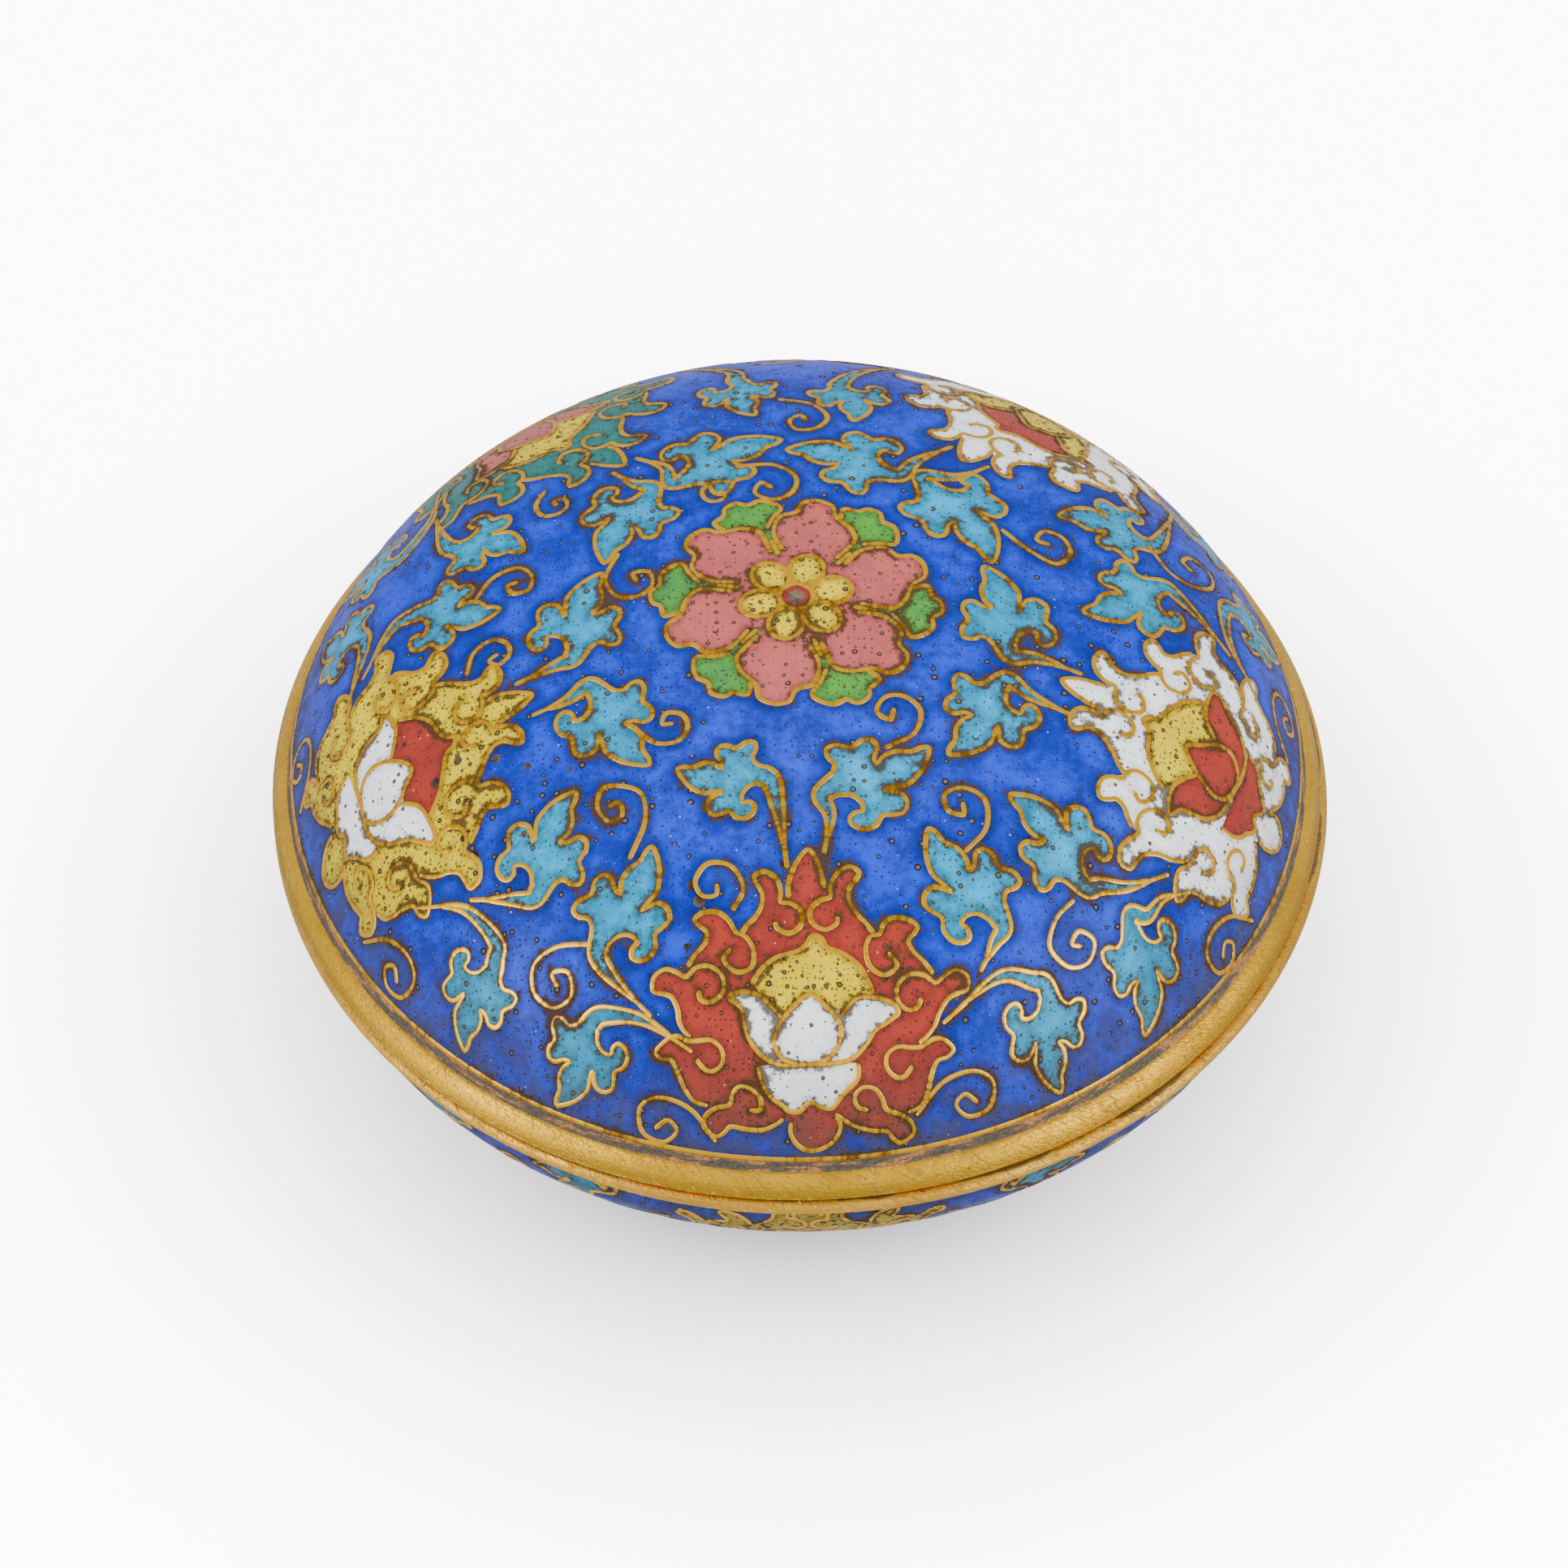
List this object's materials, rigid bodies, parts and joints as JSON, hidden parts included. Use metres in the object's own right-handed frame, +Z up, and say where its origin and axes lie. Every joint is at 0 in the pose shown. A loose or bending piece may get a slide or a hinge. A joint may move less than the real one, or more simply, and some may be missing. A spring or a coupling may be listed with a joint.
{
  "type": "cloisonne enamel box",
  "caption": "round, squat enamelled copper box on a low foot, with a domed lift-off lid and gilt mouth bands; blue ground with a lotus scroll",
  "frame": {"origin": "centre of the foot ring, on the surface that the box stands on", "axes": "+Z up through the middle of the lid; -Y toward the viewer, under the red lotus; +X to the viewer's right"},
  "size_m": [0.0804, 0.0804, 0.0395],
  "materials": {
    "enamel_blue": "glossy, pitted",
    "gilt": "satin, fine scratches"
  },
  "bodies": {
    "root": {"lid_shell": "enamel_blue", "lid_band": "gilt", "box_shell": "enamel_blue", "box_band": "gilt", "foot_ring": "gilt"}
  },
  "joints": []
}
